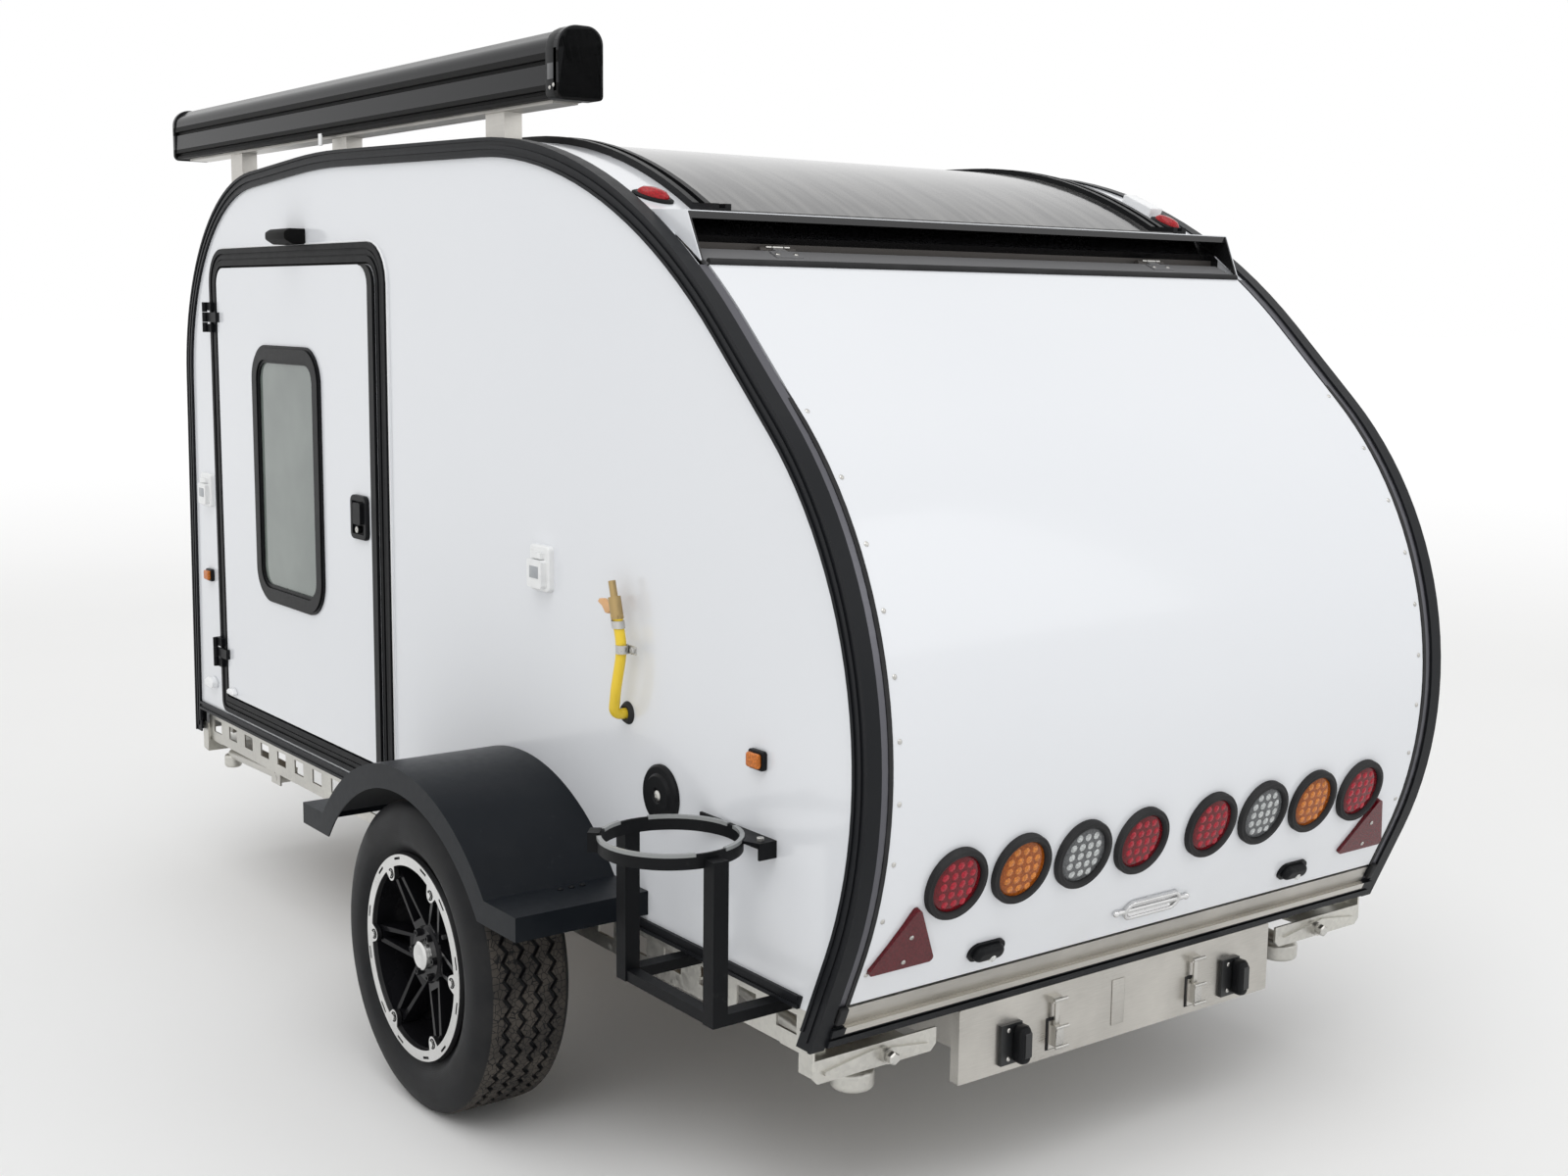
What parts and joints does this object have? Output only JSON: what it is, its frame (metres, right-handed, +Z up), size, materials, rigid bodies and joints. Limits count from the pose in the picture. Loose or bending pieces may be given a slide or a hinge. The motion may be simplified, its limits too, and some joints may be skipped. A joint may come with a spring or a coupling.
{
  "type": "teardrop trailer",
  "caption": "Small two-berth teardrop caravan on a single-axle chassis: curved cabin, side doors, rear hatch, rolled awning case and jockey wheel.",
  "frame": {"origin": "middle of the overall length and width, on the ground", "axes": "+X forward to the coupling, +Y to the left side, +Z up"},
  "size_m": [4.2167, 2.06, 2.137],
  "materials": {
    "cabin_white": "smooth gloss",
    "roof_film": "glossy dark film",
    "black_plastic": "satin ribbed",
    "black_metal": "satin powder coat",
    "black_gloss_metal": "gloss black",
    "floor_board": "sealed plywood",
    "bare_aluminium": "brushed",
    "chrome": "polished",
    "lamp_red": "clear red lens",
    "lamp_amber": "clear amber lens",
    "reflector_red": "reflex lens",
    "tinted_glass": "tinted",
    "white_plastic": "moulded",
    "yellow_hose": "smooth",
    "brass": "machined",
    "fender_steel": "satin powder coat",
    "galvanised": "galvanised",
    "stainless": "brushed",
    "tyre": "highway tread",
    "rim_black": "gloss black",
    "rim_machined": "machined",
    "jockey_rubber": "solid rubber"
  },
  "bodies": {
    "trailer": {"side_wall_left": "cabin_white", "side_wall_right": "cabin_white", "front_wall": "cabin_white", "roof": "cabin_white", "roof_panel": "roof_film", "roof_profiles": "black_plastic", "rain_hood": "cabin_white", "hatch_header": "black_metal", "floor": "floor_board", "rear_frame": "bare_aluminium", "edge_trim": "black_plastic", "door_frames": "black_metal", "door_lamp": "black_plastic", "sockets": "white_plastic", "side_markers": "lamp_amber", "roof_markers": "lamp_red", "service_disc": "black_plastic", "gas_hose": "yellow_hose", "gas_valve": "brass", "bottle_ring": "black_metal", "awning_case": "black_gloss_metal", "awning_brackets": "bare_aluminium", "fender_left": "fender_steel", "fender_right": "fender_steel", "axle": "galvanised", "chassis_rails": "galvanised", "chassis_members": "galvanised", "drawbars": "galvanised", "coupling": "galvanised", "jockey_clamp": "galvanised", "steady_brackets": "galvanised", "drawer_sleeve": "stainless"},
    "hatch": {"hatch": "cabin_white", "hatch_hinge_leaves": "black_metal", "hatch_handle": "chrome", "tail_lamps": "lamp_red", "triangle_reflectors": "reflector_red", "plate_lamps": "black_plastic"},
    "door_left": {"door_left": "cabin_white", "door_left_fittings": "black_plastic", "door_left_glass": "tinted_glass"},
    "door_right": {"door_right": "cabin_white", "door_right_fittings": "black_plastic", "door_right_glass": "tinted_glass"},
    "wheel_left": {"tyre_left": "tyre", "rim_left": "rim_black", "rim_ring_left": "rim_machined"},
    "wheel_right": {"tyre_right": "tyre", "rim_right": "rim_black", "rim_ring_right": "rim_machined"},
    "jockey_tube": {"jockey_tube": "galvanised"},
    "jockey_fork": {"jockey_fork": "galvanised"},
    "jockey_wheel": {"jockey_wheel": "jockey_rubber"},
    "drawer": {"drawer": "stainless", "drawer_fittings": "black_plastic"},
    "steady_rear_left": {"steady_rear_left": "galvanised"},
    "steady_rear_right": {"steady_rear_right": "galvanised"},
    "steady_front_left": {"steady_front_left": "galvanised"},
    "steady_front_right": {"steady_front_right": "galvanised"}
  },
  "joints": [
    {"name": "hatch_hinge", "type": "hinge", "parent": "trailer", "child": "hatch", "pos_m": [-1.50459, 0, 1.717], "axis": [0, 1, 0], "range_deg": [0, 75]},
    {"name": "door_left_hinge", "type": "hinge", "parent": "trailer", "child": "door_left", "pos_m": [0.72741, 0.77, 1.091], "axis": [0, 0, -1], "range_deg": [0, 170]},
    {"name": "door_right_hinge", "type": "hinge", "parent": "trailer", "child": "door_right", "pos_m": [0.72741, -0.77, 1.091], "axis": [0, 0, 1], "range_deg": [0, 170]},
    {"name": "wheel_left_spin", "type": "hinge", "parent": "trailer", "child": "wheel_left", "pos_m": [-0.98659, 0.91, 0.316], "axis": [0, 1, 0], "continuous": true},
    {"name": "wheel_right_spin", "type": "hinge", "parent": "trailer", "child": "wheel_right", "pos_m": [-0.98659, -0.91, 0.316], "axis": [0, 1, 0], "continuous": true},
    {"name": "jockey_slide", "type": "slide", "parent": "trailer", "child": "jockey_tube", "axis": [0, 0, 1], "range_m": [0, 0.09]},
    {"name": "jockey_swivel", "type": "hinge", "parent": "jockey_tube", "child": "jockey_fork", "pos_m": [1.59041, -0.16579, 0.1], "axis": [0, 0, 1], "continuous": true},
    {"name": "jockey_wheel_spin", "type": "hinge", "parent": "jockey_fork", "child": "jockey_wheel", "pos_m": [1.54541, -0.16579, 0.1], "axis": [0, 1, 0], "continuous": true},
    {"name": "drawer_slide", "type": "slide", "parent": "trailer", "child": "drawer", "axis": [-1, 0, 0], "range_m": [0, 0.6]},
    {"name": "steady_rear_left_fold", "type": "hinge", "parent": "trailer", "child": "steady_rear_left", "pos_m": [-1.48759, 0.584, 0.336], "axis": [0, -1, 0], "range_deg": [0, 40]},
    {"name": "steady_rear_right_fold", "type": "hinge", "parent": "trailer", "child": "steady_rear_right", "pos_m": [-1.48759, -0.584, 0.336], "axis": [0, -1, 0], "range_deg": [0, 40]},
    {"name": "steady_front_left_fold", "type": "hinge", "parent": "trailer", "child": "steady_front_left", "pos_m": [0.46441, 0.686, 0.336], "axis": [0, 1, 0], "range_deg": [0, 40]},
    {"name": "steady_front_right_fold", "type": "hinge", "parent": "trailer", "child": "steady_front_right", "pos_m": [0.46441, -0.686, 0.336], "axis": [0, 1, 0], "range_deg": [0, 40]}
  ]
}
